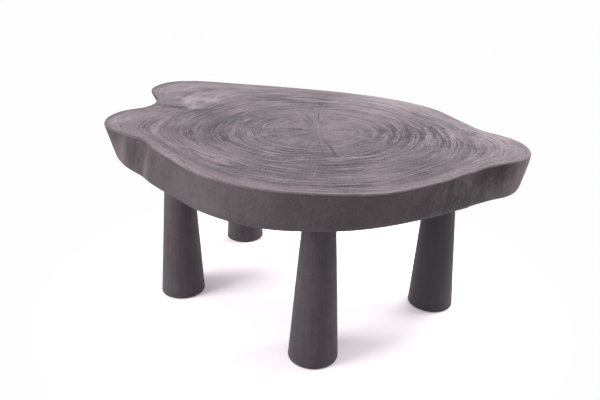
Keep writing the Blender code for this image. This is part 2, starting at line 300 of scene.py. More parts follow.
# Finish of the top. A soft step is written as where it starts and ends, and then its values
# there, unless these are 0 and 1.
TOP_DARK = (0.045, 0.0403, 0.0406, 1.0)
TOP_PALE = (0.357, 0.3090, 0.3345, 1.0)
TOP_TONE = 0.315  # between those two, before the figure
TOP_CONTRAST = 0.61
SLAB_SPECULAR = 0.2
SLAB_ROUGHNESS = 0.74
FIGURE_GLOSS = 0.12  # how much smoother the pale figure is
RING_WOBBLES = ((9.0, 0.008), (34.0, 0.007))  # marks to the metre, and how far they shift a ring
FLAME_WOBBLE = (15.0, 0.012)
RING_DETAIL = 1.0
FINE = Grain(width=0.0016, run=0.045, tone=1.8, height=0.0004)
REED = Grain(width=0.0034, run=0.10, tone=1.1)
LATE = Grain(width=0.0044, run=0.16, tone=0.36, height=0.00025, soft=(-0.08, 0.10))
THREAD = Grain(width=0.010, run=0.24, tone=0.36, soft=(0.0, 0.022))
FURROW = Grain(width=0.013, run=0.28, tone=-0.34, soft=(0.0, 0.020))
FLAME = Grain(width=0.0050, run=0.10, tone=1.10, soft=(-0.10, 0.10))
STREAK = Grain(width=0.0075, run=0.14, tone=0.48, soft=(-0.14, 0.14))
BROAD = Grain(width=0.013, run=0.09, tone=0.34, soft=(-0.10, 0.10))
BAND = Grain(width=0.030, run=0.14)
BAND_STEP = (-0.13, 0.13, 0.50, 1.40)  # strength of the lines, from band to band
BREAK = Mottle(scale=24.0)
BREAK_STEP = (-0.16, 0.16, 0.50, 1.40)  # the same, where they are broken
REED_STEP = (0.30, 0.90)  # sine of the bearing over which the reeds set in
ARC_LATE = 0.8  # how much the late wood marks a pale or dark ring
PITH_CORE = 0.004  # added to the radius, so that rays don't meet in a point
RAY_DETAIL = 3.0
WEDGE = Grain(width=1 / 13, run=0.07)
WEDGE_STEP = (0.07, 0.17, 0.9, 0.0)  # by how far they are from the pith
WISP = Grain(width=1 / 34, run=0.05, height=0.0002)
WISP_STEP = (0.06, 0.30, 0.60, 0.25)
CROSS_RAY = Grain(width=1 / 60, run=0.03, tone=5.0)
BRUSH = Grain(width=0.0026, run=0.06, tone=0.42)
CELLS = Mottle(scale=85.0, detail=3.0, tone=0.90)
BLOTCH = Mottle(scale=14.0, detail=6.0, tone=0.75, rough=0.12)
SPECK = Mottle(scale=330.0, tone=1.15, height=0.0001)
CHIP = Mottle(scale=150.0, detail=3.0, tone=2.4)
CHIP_SHADE = 0.08
# Soft steps by the share of the growth: the sapwood, and the bands and dark line by the edge
SAPWOOD_STEP = (0.72, 0.98, 0.0, 0.12)
EDGE_BANDS = ((0.87, 0.92, 0.0, 0.22), (0.96, 0.98, 0.0, 0.10))
EDGE_FURROW = 0.86
EDGE_FURROW_STEP = (0.0, 0.010, 0.20, 0.0)  # off that share
DARK_STEP = (0.970, 0.995, 0.0, 0.35)
# Soft steps by x and y: where those bands and that dark line show
BANDS_FRONT = (-0.28, -0.08, 1.0, 0.25)
DARK_LEFT = (-0.34, -0.24, 1.0, 0.0)
DARK_RIGHT = (0.20, 0.30, 0.0, 0.6)
DARK_BACK = (0.02, 0.14, 0.0, 1.0)
STRAY = Mottle(scale=70.0)
STRAY_REACH = 0.004  # how far a drawn line strays
LINE_TAPER = 0.35  # share of a drawn line's length, from its middle, at which it starts to taper
# Painted shadow down in the drying checks: its colour, how wide it is and how strong
CHECK_SHADOW_BLACK = (0.012, 0.011, 0.0115, 1.0)
CHECK_LINE = 0.4  # share of a check's width over which its dark line fades
CHECK_SHADOW_STRENGTH = 0.9
SCRATCH = ((0.0226, -0.3096), (0.0152, -0.3493))
SCRATCH_WIDTH = 0.0011
SCRATCH_STRAY = 0.3  # how much of the straying it has
SCRATCH_TONE = 0.6

# Finish of the rim and the underside
RIM_DARK = (0.050, 0.0440, 0.0448, 1.0)
RIM_PALE = (0.191, 0.1660, 0.1700, 1.0)
RIM_TONE = 0.26
RIM_CONTRAST = 2 / 3
SHADE_MOTTLE = Mottle(scale=48.0, detail=4.0)
SHADE_STEP = (-0.20, 0.20, 0.5, 1.5)  # strength of the rim's spots
FIBRE = Grain(width=0.0035, run=0.05, detail=3.0, tone=0.28, height=0.00015)
BARK_TONE = 0.45  # added to the fibre's in the bark
BARK_HEIGHT = 0.0006
BARK_SCALE = Mottle(scale=100.0, detail=4.0, tone=0.95, height=0.0012)
PATCH = Mottle(scale=16.0, detail=3.0, tone=0.7)
HATCH = Grain(width=0.003, run=0.03, tone=0.42, height=0.0004)
SAWN = Grain(width=0.0024, run=0.12, tone=0.6, height=0.0004)
SAWN_SLANT = 0.3
SAWN_STEP = (0.0005, 0.003, 1.0, 0.0)  # by how far it is above the underside
RIM_SPECK = 0.5  # tone of the specks there
WORN_TAN = (0.215, 0.165, 0.135, 1.0)
WORN_IN = (0.10, 0.45)  # from the top into the round at its edge
WORN_OUT = (0.60, 0.98, 1.0, 0.0)  # and from that round into the rim
WEAR = Mottle(scale=26.0, detail=4.0)
WEAR_STEP = (-0.12, 0.14, 0.2, 0.9)
NICK = (0.037, -0.419, 0.398)
NICK_STEP = (0.002, 0.005, 0.9, 0.0)

# Finish of the legs
LEG_DARK = (0.046, 0.0405, 0.0440, 1.0)
LEG_PALE = (0.112, 0.0990, 0.1070, 1.0)
LEG_TONE = 0.39
LEG_SPECULAR = 0.3
LEG_ROUGHNESS = 0.62
LEG_GRAIN = Grain(width=0.0045, run=0.16, detail=5.0, tone=0.5, rough=-0.12, height=0.0003)
LEG_BEND = Mottle(scale=30.0)
LEG_TURNING = Grain(width=0.0022, detail=1.0, tone=0.12, height=0.00008)
LEG_PATCH = Mottle(scale=18.0, detail=3.0, tone=0.6)
LEG_SPECK = Mottle(scale=300.0, tone=0.5)
# Soft steps by x and y: painted shade, how much darker the legs are made to the right and at the back
LEG_MIDDLE_PAINTED_SHADE = (-0.20, 0.05, 0.0, 0.12)
LEG_RIGHT_PAINTED_SHADE = (0.10, 0.30, 0.0, 0.29)
LEG_BACK_PAINTED_SHADE = (0.00, 0.20, 0.0, 0.12)

# Finish of the metal and the nylon
ZINC_DARK = (0.42, 0.43, 0.45, 1.0)
ZINC_PALE = (0.74, 0.75, 0.76, 1.0)
BRASS_DARK = (0.55, 0.41, 0.18, 1.0)
BRASS_PALE = (0.82, 0.66, 0.36, 1.0)
METAL_TONE = 0.5
METAL_ROUGHNESS = 0.36
METAL_MARKS = (
    Mottle(scale=140.0, detail=3.0, tone=1.1, rough=0.25),
    Mottle(scale=900.0, tone=0.6, rough=0.2, height=0.00004),
)
NYLON_DARK = (0.012, 0.012, 0.0125, 1.0)
NYLON_PALE = (0.034, 0.034, 0.035, 1.0)
NYLON_TONE = 0.4
NYLON_SPECULAR = 0.4
NYLON_ROUGHNESS = 0.50
NYLON_MARKS = (
    Mottle(scale=60.0, detail=4.0, tone=1.2, rough=0.3, height=0.00005),
    Mottle(scale=1200.0, tone=0.5, height=0.00005),
)

# Hanger bolts, inserts, screws and glides
SOCKET_SIDES = 32
SOCKET_RADIUS = 0.0083
SOCKET_SPARE = 0.003  # above the bolt's end
FLANGE_THICKNESS = 0.0015
THREAD_SIDES = 28
BOLT_PITCH = 0.0015
BOLT_THREAD = 0.0008
BOLT_ROWS = 5  # to a turn of the thread
WOOD_PITCH = 0.0036
WOOD_THREAD = 0.0013
WOOD_ROOT = 1.6  # how much wider a thread's root is than an even one
BOLT_POINT = 0.008
BOLT_CHAMFER = 0.001
BOLT_END = 0.0002  # taken off the last row
BOLT_COLLAR = 0.002  # plain on both sides of the slab's underside
TIP_SHARE = 0.06  # of the radius, at a pointed end
INSERT_RADIUS = 0.0080
INSERT_BORE = 0.0053
INSERT_PITCH = 0.0040
INSERT_THREAD = 0.0010
INSERT_ROWS = 12
INSERT_BREAK = 0.0002  # taken off its sharp edges
BORE_THREAD = 0.0004
SCREW_RADIUS = 0.00175
SCREW_HEAD = 0.0018
SCREW_PITCH = 0.0014
SCREW_THREAD = 0.0005
SCREW_ROWS = 8
SCREW_ROOT = 1.5
SCREW_POINT = 0.005
RECESS_REACH = 0.0021  # of the cross in the screw's head
RECESS_WIDTH = 0.0009
RECESS_DEPTH = 0.0011
RECESS_SLOPE = 0.5  # share of the depth that is lost at its ends
RECESS_ROWS = 14
RECESS_START = 0.02  # share of the head's radius at the first of them
GLIDE_SIDES = 96
GLIDE_CHAMFER = 0.0008
GLIDE_BORE = 0.00205
GLIDE_BREAK = 0.0003
GLIDE_GROOVES = (0.012, 0.020)  # radii of two shallow rings in its lower face
GROOVE_WIDTH = 0.0016
GROOVE_DEPTH = 0.0004
GROOVE_PROFILE = ((-0.5, 0.0), (-0.25, 1.0), (0.25, 1.0), (0.5, 0.0))  # shares of these two

# Studio
PAPER = (0.86, 0.82, 0.85, 1.0)
PAPER_SEEN = (1.82, 1.75, 1.81, 1.0)  # to the camera, so that all but the shadows is white
PAPER_STEP = (0.34, 0.62, 0.06, 1.0)  # share of plain white, by how far it is from the middle
FLOOR_HALF = 20.0
FLOOR_DROP = 0.0002  # below the glides
STUDIO_WHITE = (1.0, 0.993, 0.998, 1.0)
STUDIO_LIGHT = (1.0, 0.950, 0.985, 1.0)
STUDIO_STRENGTH = 0.36
# Lamps: place, aim, width, height and watts
SOFT_BOXES = {
    "overhead_box": ((0.6, 0.9, 1.8), (0.1, 0.1, 0.4), 1.8, 1.4, 39.0),
    "left_box": ((-2.4, -1.0, 1.3), (0.0, 0.0, 0.3), 1.6, 1.6, 62.0),
    "right_box": ((2.4, 0.4, 1.2), (0.0, 0.0, 0.3), 1.4, 1.4, 29.0),
}


class Value:
    """A number, colour or vector that varies over a surface. Sums on it add Math nodes."""

    def __init__(self, nodes, socket):
        self.nodes = nodes
        self.socket = socket

    def __add__(self, other):
        return self.nodes.maths("ADD", self, other)

    def __radd__(self, other):
        return self.nodes.maths("ADD", other, self)

    def __sub__(self, other):
        return self.nodes.maths("SUBTRACT", self, other)

    def __rsub__(self, other):
        return self.nodes.maths("SUBTRACT", other, self)

    def __mul__(self, other):
        return self.nodes.maths("MULTIPLY", self, other)

    def __rmul__(self, other):
        return self.nodes.maths("MULTIPLY", other, self)

    def __truediv__(self, other):
        return self.nodes.maths("DIVIDE", self, other)

    def __rtruediv__(self, other):
        return self.nodes.maths("DIVIDE", other, self)

    def __abs__(self):
        return self.nodes.maths("ABSOLUTE", self)


class Nodes:
    """The node tree of a material or of the world."""

    def __init__(self, tree):
        self.tree = tree

    def node(self, kind, settings, sockets, output=0):
        """Adds a node: first its settings, then the values or links of its sockets."""
        made = self.tree.nodes.new(kind)
        for setting, value in settings.items():
            setattr(made, setting, value)
        for socket, value in sockets.items():
            if isinstance(value, Value):
                self.tree.links.new(value.socket, made.inputs[socket])
            else:
                made.inputs[socket].default_value = value
        return Value(self, made.outputs[output])

    def maths(self, operation, first, second=0.0):
        """The result of a Math node."""
        return self.node("ShaderNodeMath", {"operation": operation}, {0: first, 1: second})

    def seen(self):
        """1 for what the camera sees straight, mirrored or through glass, and 0 for light."""
        ways = ("Is Camera Ray", "Is Glossy Ray", "Is Transmission Ray")
        camera, mirrored, through = [self.node("ShaderNodeLightPath", {}, {}, way) for way in ways]
        return camera + mirrored + through

    def mix_shaders(self, share, first, second):
        """Ends the tree in one shader going over into another."""
        mixed = self.node("ShaderNodeMixShader", {}, {0: share, 1: first, 2: second})
        end = next(node for node in self.tree.nodes if "Surface" in node.inputs)
        self.tree.links.new(mixed.socket, end.inputs["Surface"])


class Finish(Nodes):
    """A material in the making. Its constants are set on the Principled shader."""

    def __init__(self, name, **constants):
        self.material = bpy.data.materials.new(name)
        self.material.use_nodes = True
        super().__init__(self.material.node_tree)
        self.shader = self.tree.nodes["Principled BSDF"]
        for socket, value in constants.items():
            self.shader.inputs[socket.replace("_", " ")].default_value = value
        # Where a point of the piece lies, in the table's frame
        self.place = self.node("ShaderNodeTexCoord", {}, {}, "Object")

    def parts(self, vector):
        """The three numbers of a vector."""
        return [self.node("ShaderNodeSeparateXYZ", {}, {0: vector}, axis) for axis in "XYZ"]

    def vector(self, x, y, z):
        """A vector of three numbers."""
        return self.node("ShaderNodeCombineXYZ", {}, {0: x, 1: y, 2: z})

    def distance(self, point):
        """How far a point of the piece lies from a fixed one."""
        sockets = {0: self.place, 1: point}
        return self.node("ShaderNodeVectorMath", {"operation": "DISTANCE"}, sockets, "Value")

    def carried(self, name):
        """A number that the mesh carries at its points."""
        return self.node("ShaderNodeAttribute", {"attribute_name": name}, {}, "Fac")

    def cloud(self, vector, scale=1.0, detail=2.0):
        """Smooth noise about 0, mostly within a third of it."""
        sockets = {"Vector": vector, "Scale": scale, "Detail": detail}
        return self.node("ShaderNodeTexNoise", {}, sockets) - 0.5

    def spots(self, mottle):
        """The round marks of a mottle, as such noise."""
        return self.cloud(self.place, mottle.scale, mottle.detail)

    def step(self, value, low, high, start=0.0, end=1.0):
        """A soft step from start to end as a value goes from low to high."""
        sockets = {"Value": value, "From Min": low, "From Max": high, "To Min": start, "To Max": end}
        return self.node("ShaderNodeMapRange", {"interpolation_type": "SMOOTHSTEP"}, sockets)

    def blend(self, share, first, second):
        """One colour going over into another."""
        settings = {"data_type": "RGBA", "clamp_factor": True}
        return self.node("ShaderNodeMix", settings, {0: share, 6: first, 7: second}, 2)

    def feed(self, socket, value):
        """Lets a value set a socket of the shader."""
        self.tree.links.new(value.socket, self.shader.inputs[socket])

    def relief(self, height):
        """Fine relief, from heights in metres."""
        self.feed("Normal", self.node("ShaderNodeBump", {}, {"Height": height, "Distance": 1.0}))

    def scuff(self, dark, pale, tone, roughness, marks):
        """Clouds and scuffs the finish with round marks."""
        height = 0.0
        for mottle in marks:
            spots = self.spots(mottle)
            tone = tone + spots * mottle.tone
            roughness = roughness + spots * mottle.rough
            height = height + spots * mottle.height
        self.feed("Base Color", self.blend(tone, dark, pale))
        self.feed("Roughness", roughness)
        self.relief(height)


class EndGrain(Finish):
    """Charcoal stain on brushed end grain above, and on the debarked rim."""

    def __init__(self):
        super().__init__("charcoal_slab", Specular_IOR_Level=SLAB_SPECULAR)
        self.x, self.y, self.z = self.parts(self.place)
        self.away_x = self.x - PITH[0]
        self.away_y = self.y - PITH[1]
        squares = self.away_x * self.away_x + self.away_y * self.away_y
        self.away = self.maths("SQRT", squares) + PITH_CORE
        self.flames = self.carried("flame")
        ring = self.carried("growth")
        for scale, shift in RING_WOBBLES:
            ring = ring + self.cloud(self.place, scale) * shift
        scale, shift = FLAME_WOBBLE
        self.ring = ring + self.cloud(self.place, scale) * self.flames * shift
        self.stray = self.spots(STRAY) * STRAY_REACH

    def ring_lines(self, grain):
        """Lines along the growth rings, as noise about 0."""
        path = self.vector(self.ring / grain.width, self.x / grain.run, self.y / grain.run)
        return self.cloud(path, detail=RING_DETAIL)

    def ring_stripes(self, grain):
        """Stripes along the growth rings, from -0.5 to 0.5."""
        return self.step(self.ring_lines(grain), *grain.soft) - 0.5

    def ring_threads(self, grain):
        """Single thin lines along the growth rings, from 0 to 1."""
        return self.step(abs(self.ring_lines(grain)), *grain.soft, 1.0, 0.0)

    def pith_rays(self, grain):
        """Lines out from the pith, as noise about 0."""
        turn_x = self.away_x / self.away / grain.width
        turn_y = self.away_y / self.away / grain.width
        return self.cloud(self.vector(turn_x, turn_y, self.away / grain.run), detail=RAY_DETAIL)

    def drawn_line(self, start, end, width, stray):
        """1 along a thin line that strays a little and is pointed at both ends, and 0 elsewhere."""
        run = np.subtract(end, start)
        length = np.hypot(*run)
        way_x, way_y = run / length
        off_x = self.x - (start[0] + end[0]) / 2
        off_y = self.y - (start[1] + end[1]) / 2
        along = abs(off_x * way_x + off_y * way_y)
        across = abs(off_y * way_x - off_x * way_y + stray)
        thickest = self.step(along, LINE_TAPER * length, length / 2, 1.0, 0.0)
        return self.step(across, 0.0, width, thickest, 0.0)

    def figure(self):
        """Tone and relief of the top's figure: lines along the rings and out from the pith."""
        fine = self.ring_lines(FINE)
        late = self.ring_stripes(LATE)
        reed = self.ring_lines(REED) * self.step(abs(self.away_y) / self.away, *REED_STEP)
        lines = fine * FINE.tone + reed * REED.tone + late * LATE.tone
        for grain in (THREAD, FURROW):
            lines = lines + self.ring_threads(grain) * grain.tone
        broken = self.step(self.spots(BREAK), *BREAK_STEP)
        cross = self.carried("cross")
        crossed = 1 + cross * self.pith_rays(CROSS_RAY) * CROSS_RAY.tone
        lines = lines * self.step(self.ring_lines(BAND), *BAND_STEP) * broken * crossed
        wedges = self.pith_rays(WEDGE) * self.step(self.away, *WEDGE_STEP)
        wisps = self.pith_rays(WISP) * self.step(self.away, *WISP_STEP)
        brush = self.cloud(self.vector(self.x / BRUSH.run, self.y / BRUSH.width, 0.0))
        tone = self.carried("lines") * lines + wedges + wisps + brush * BRUSH.tone
        tone = tone + self.flames * self.ring_stripes(FLAME) * FLAME.tone
        tone = tone + self.carried("streaks") * self.ring_stripes(STREAK) * STREAK.tone
        tone = tone + cross * (self.ring_stripes(BROAD) * BROAD.tone + self.spots(CELLS) * CELLS.tone)
        tone = tone + self.carried("arcs") * broken * (1 + late * ARC_LATE)
        height = fine * FINE.height + late * LATE.height + wisps * WISP.height
        return tone, height

    def top_marks(self):
        """Tone of the top's pale spots, partly painted sheen, and of its sapwood, edge, chips,
        scratch and stains.
        """
        grown = self.ring / GROWTH_SPAN
        bands = 0.0
        for band_step in EDGE_BANDS:
            bands = bands + self.step(grown, *band_step)
        bands = bands - self.step(abs(grown - EDGE_FURROW), *EDGE_FURROW_STEP)
        at_ends = self.step(self.x, *DARK_LEFT) + self.step(self.x, *DARK_RIGHT)
        dark_places = self.maths("MAXIMUM", at_ends, self.step(self.y, *DARK_BACK))
        # Pale spots: partly the top's figure, partly painted sheen at the back right and the tip
        tone = self.carried("pale") + self.step(grown, *SAPWOOD_STEP)
        tone = tone + bands * self.step(self.y, *BANDS_FRONT)
        tone = tone - self.step(grown, *DARK_STEP) * dark_places
        tone = tone + self.carried("chips") * (self.spots(CHIP) * CHIP.tone - CHIP_SHADE)
        scratch = self.drawn_line(*SCRATCH, SCRATCH_WIDTH, self.stray * SCRATCH_STRAY)
        tone = tone + scratch * SCRATCH_TONE
        for start, end, width, shade in STAINS:
            tone = tone - self.drawn_line(start, end, width, self.stray) * shade
        return tone

    def check_shadows(self):
        """1 in the painted shadow down the drying checks, and 0 elsewhere."""
        dark = 0.0
        for bearing, start, end in CHECKS:
            way = np.array((cos(radians(bearing)), sin(radians(bearing))))
            width = CHECK_WIDTH * CHECK_LINE
            dark = dark + self.drawn_line(PITH + way * start, PITH + way * end, width, self.stray)
        return dark

    def side_figure(self):
        """Tone and relief of the rim's spots, which are partly painted light and shade, of its
        fibres, bark and tool marks, and of the underside.
        """
        bark = self.carried("bark")
        path = self.vector(self.x / FIBRE.width, self.y / FIBRE.width, self.z / FIBRE.run)
        fibre = self.cloud(path, detail=FIBRE.detail)
        scales = self.spots(BARK_SCALE) * bark
        slant = (self.x - self.z) / HATCH.width
        hatch = self.cloud(self.vector(slant, (self.x + self.z) / HATCH.run, self.y / HATCH.run))
        hatch = hatch * self.carried("hatch")
        across = (self.x + self.y * SAWN_SLANT) / SAWN.width
        along = (self.y - self.x * SAWN_SLANT) / SAWN.run
        above = self.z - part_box("slab")[0].z
        sawn = self.cloud(self.vector(across, along, 0.0)) * self.step(above, *SAWN_STEP)
        # The rim's spots: partly its own tone, partly painted light and shade of its hollows, ridges,
        # tip and lower left end
        tone = self.carried("shade") * self.step(self.spots(SHADE_MOTTLE), *SHADE_STEP)
        tone = tone + fibre * (FIBRE.tone + bark * BARK_TONE) + scales * BARK_SCALE.tone
        tone = tone + self.spots(PATCH) * PATCH.tone + hatch * HATCH.tone + sawn * SAWN.tone
        height = fibre * (FIBRE.height + bark * BARK_HEIGHT) + scales * BARK_SCALE.height
        height = height + hatch * HATCH.height + sawn * SAWN.height
        return tone, height

    def wear(self, rim):
        """1 where the stain is worn off, in patches of the upper edge and in its nick."""
        edge = self.step(rim, *WORN_IN) * self.step(rim, *WORN_OUT)
        edge = edge * self.step(self.spots(WEAR), *WEAR_STEP)
        return edge + self.step(self.distance(NICK), *NICK_STEP)


def charcoal_end_grain():
    """The slab's finish, with the top going over into the rim."""
    wood = EndGrain()
    speck = wood.spots(SPECK)
    blotch = wood.spots(BLOTCH)
    figure, figure_height = wood.figure()
    tone = wood.top_marks() + figure + blotch * BLOTCH.tone + speck * SPECK.tone
    top = wood.blend(TOP_TONE + tone * TOP_CONTRAST, TOP_DARK, TOP_PALE)
    # Painted shadow down in the drying checks, over the top's colour
    top = wood.blend(wood.check_shadows() * CHECK_SHADOW_STRENGTH, top, CHECK_SHADOW_BLACK)
    side_tone, side_height = wood.side_figure()
    side_tone = side_tone + speck * RIM_SPECK
    side = wood.blend(RIM_TONE + side_tone * RIM_CONTRAST, RIM_DARK, RIM_PALE)
    rim = wood.carried("rim")
    wood.feed("Base Color", wood.blend(wood.wear(rim), wood.blend(rim, top, side), WORN_TAN))
    wood.feed("Roughness", SLAB_ROUGHNESS - figure * FIGURE_GLOSS + blotch * BLOTCH.rough)
    top_height = figure_height + speck * SPECK.height
    wood.relief(top_height * (1 - rim) + side_height * rim)
    return wood


def charcoal_leg():
    """Charcoal stain on smooth turned wood with a faint upright grain, and painted shade towards the
    right and the back.
    """
    wood = Finish("charcoal_leg", Specular_IOR_Level=LEG_SPECULAR)
    x, y, z = wood.parts(wood.place)
    bent = z / LEG_GRAIN.run + wood.spots(LEG_BEND)
    path = wood.vector(x / LEG_GRAIN.width, y / LEG_GRAIN.width, bent)
    grain = wood.cloud(path, detail=LEG_GRAIN.detail)
    turning = wood.cloud(wood.vector(0.0, 0.0, z / LEG_TURNING.width), detail=LEG_TURNING.detail)
    tone = LEG_TONE + grain * LEG_GRAIN.tone + turning * LEG_TURNING.tone
    for mottle in (LEG_PATCH, LEG_SPECK):
        tone = tone + wood.spots(mottle) * mottle.tone
    # Painted shade: the legs are made darker towards the right and the back
    for along, painted_shade in ((x, LEG_MIDDLE_PAINTED_SHADE), (x, LEG_RIGHT_PAINTED_SHADE), (y, LEG_BACK_PAINTED_SHADE)):
        tone = tone - wood.step(along, *painted_shade)
    wood.feed("Base Color", wood.blend(tone, LEG_DARK, LEG_PALE))
    wood.feed("Roughness", LEG_ROUGHNESS + grain * LEG_GRAIN.rough)
    wood.relief(grain * LEG_GRAIN.height + turning * LEG_TURNING.height)
    return wood


def worked_metal(name, dark, pale):
    """Bare or plated metal, a little clouded and scuffed."""
    metal = Finish(name, Metallic=1.0)
    metal.scuff(dark, pale, METAL_TONE, METAL_ROUGHNESS, METAL_MARKS)
    return metal


def moulded_nylon():
    """Black nylon, worn paler in places by the floor."""
    nylon = Finish("moulded_nylon", Specular_IOR_Level=NYLON_SPECULAR)
    nylon.scuff(NYLON_DARK, NYLON_PALE, NYLON_TONE, NYLON_ROUGHNESS, NYLON_MARKS)
    return nylon


def placed(name, data):
    """A new object in the scene."""
    made = bpy.data.objects.new(name, data)
    bpy.context.scene.collection.objects.link(made)
    return made


def set_piece(name, mesh, finish, slot, *nodes):
    """Puts a mesh in the scene as a piece that stands for its CAD nodes."""
    mesh.materials.append(finish.material)
    piece = placed(name, mesh)
    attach(piece, "root")
    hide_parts(*nodes)


def waver(points):
    """Smooth noise from -1 to 1 at each row of an array of points."""
    flat = points.reshape(-1, 3)
    return np.array([noise.noise(Vector(point)) for point in flat]).reshape(points.shape[:-1])


def soft_step(value, low, high):
    """A soft step from 0 to 1 as a value goes from low to high."""
    share = np.clip((value - low) / (high - low), 0.0, 1.0)
    return share * share * (3 - 2 * share)


def bell(off, reach):
    """1 in the middle, falling off smoothly over a reach."""
    return np.exp(-((off / reach) ** 2) / 2)


def off_bearing(bearings, middle):
    """How far bearings lie off a middle one, the short way round."""
    return (bearings - middle + pi) % tau - pi


def arc_zone(bearings, arc, fade):
    """1 inside an arc of bearings, fading to 0 on both sides of it."""
    off = abs(off_bearing(bearings, (arc[0] + arc[1]) / 2))
    half = (arc[1] - arc[0]) / 2
    return 1 - soft_step(off, half - fade, half + fade)


def soft_spots(x, y, spots):
    """The sum of soft spots, each given by its x, y, reach and amount."""
    total = np.zeros_like(x)
    for spot_x, spot_y, reach, amount in spots:
        total += amount * bell(np.hypot(x - spot_x, y - spot_y), reach)
    return total


def rim_tone_and_painted_light(columns, drops):
    """The sum of the rim's soft spots, partly painted light and shade: a row for each drop below the
    top.
    """
    total = np.zeros((len(drops), len(columns)))
    for bearing, drop, reach_around, reach_down, amount in RIM_TONE_AND_PAINTED_LIGHT:
        around = bell(off_bearing(columns, radians(bearing)), radians(reach_around))
        down = bell(drops - drop, reach_down)
        total += amount * down[:, None] * around
    return total


def ring_arcs(columns, shares):
    """The sum of the pale and dark stretches of rings: a row for each share of the growth."""
    total = np.zeros((len(shares), len(columns)))
    for start, end, share, reach, amount in RING_ARCS:
        along = arc_zone(columns, (radians(start), radians(end)), ARC_FADE)
        across = bell(shares - share, reach)
        total += amount * across[:, None] * along
    return total


def smoothed(radii, spread):
    """Radii at even bearings, with what is narrower than the spread smoothed out."""
    waves = np.fft.rfft(radii)
    kept = bell(np.arange(len(waves)), 1 / spread)
    return np.fft.irfft(waves * kept, len(radii))


def measured_rim(bearings, heights):
    """How far the CAD slab's rim lies from the pith: a row for each height."""
    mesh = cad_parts["slab"].data
    faces = [face.vertices for face in mesh.polygons]
    slab = BVHTree.FromPolygons([corner.co for corner in mesh.vertices], faces)
    reach = (cad_box[1] - cad_box[0]).length
    rows = []
    for height in heights:
        row = []
        for bearing in bearings:
            way = Vector((cos(bearing), sin(bearing), 0.0))
            start = Vector((*PITH, height)) + way * reach
            row.append(reach - slab.ray_cast(start, -way)[3])
        rows.append(smoothed(np.array(row), RIM_SMOOTHING))
    return np.array(rows)


def rim_drops(thickness):
    """How far below the top each row of the rim lies: a round, a plain band and a round."""
    top = RIM_TOP_ROUND * (1 - np.cos(np.linspace(0.0, pi / 2, TOP_ROUND_ROWS, endpoint=False)))
    band = np.linspace(RIM_TOP_ROUND, thickness - RIM_FOOT_ROUND, BAND_ROWS, endpoint=False)
    foot = thickness - RIM_FOOT_ROUND * (1 - np.sin(np.linspace(0.0, pi / 2, FOOT_ROUND_ROWS)))
    return np.clip(np.concatenate((top, band, foot)), SKIM, thickness - SKIM)


def even_columns(radii, bearings):
    """Bearings of the slab's columns, spread evenly along the rim, with one on each check."""
    x = radii * np.cos(bearings)
    y = radii * np.sin(bearings)
    steps = np.hypot(np.roll(x, -1) - x, np.roll(y, -1) - y)
    travel = np.concatenate(((0.0,), np.cumsum(steps)))
    ends = np.append(bearings, bearings[0] + tau)
    columns = np.interp(np.linspace(0.0, travel[-1], SLAB_COLUMNS, endpoint=False), travel, ends)
    for bearing, start, end in CHECKS:
        on_check = radians(bearing) % tau
        nearest = np.argmin(abs(columns - on_check))
        beside = min(CHECK_COLUMNS, CHECK_WIDTH / (start + end))
        columns[nearest - 1 : nearest + 2] = on_check + beside * np.array((-1.0, 0.0, 1.0))
    return columns


def ring_rows():
    """Rows of the slab's top, from the pith out: (share of the way to the rim, rise)."""
    widths = np.random.default_rng(RING_SEED).uniform(*RING_WIDTHS, RING_COUNT)
    edges = np.concatenate(((0.0,), np.cumsum(widths) / widths.sum()))
    rows = []
    for inner, outer in zip(edges, edges[1:]):
        rows += [(inner + (outer - inner) * part, rise) for part, rise in RING_ROWS]
    return rows[1:]


def trunk_outline(bearings, trunk):
    """The trunk's outline when it was younger, before its lobe and bulges were full grown."""
    known = np.radians(list(trunk))
    return smoothed(np.interp(bearings, known, list(trunk.values()), period=tau), TRUNK_SMOOTHING)


def growth_stages(bearings, rim):
    """Shares of the growth with the trunk's outlines at them, from the pith to the rim."""
    return (
        (0.0, np.zeros_like(rim)),
        (ROUND_SHARE, ROUND_RADIUS + ROUND_SHIFT * np.cos(bearings - ROUND_BEARING)),
        (YOUNG_SHARE, trunk_outline(bearings, YOUNG_TRUNK)),
        (OLD_SHARE, trunk_outline(bearings, OLD_TRUNK)),
        (1.0, rim),
    )


def ring_outline(share, stages):
    """A ring's radii at a share of the growth, between the outlines of two stages."""
    for (low, inner), (high, outer) in zip(stages, stages[1:]):
        if share < high:
            return inner + (outer - inner) * (share - low) / (high - low)


def check_shares(x, y):
    """How far into a drying check each point off the pith lies: 0 outside and 1 at its deepest."""
    shares = np.zeros_like(x)
    for bearing, start, end in CHECKS:
        turn = radians(bearing)
        along = x * cos(turn) + y * sin(turn)
        across = abs(y * cos(turn) - x * sin(turn))
        spindle = np.clip(1 - abs(2 * (along - start) / (end - start) - 1), CHECK_TIP, 1)
        inside = np.clip(1 - across / (spindle * CHECK_WIDTH / 2), 0, 1)
        shares = np.maximum(shares, spindle * inside)
    return shares


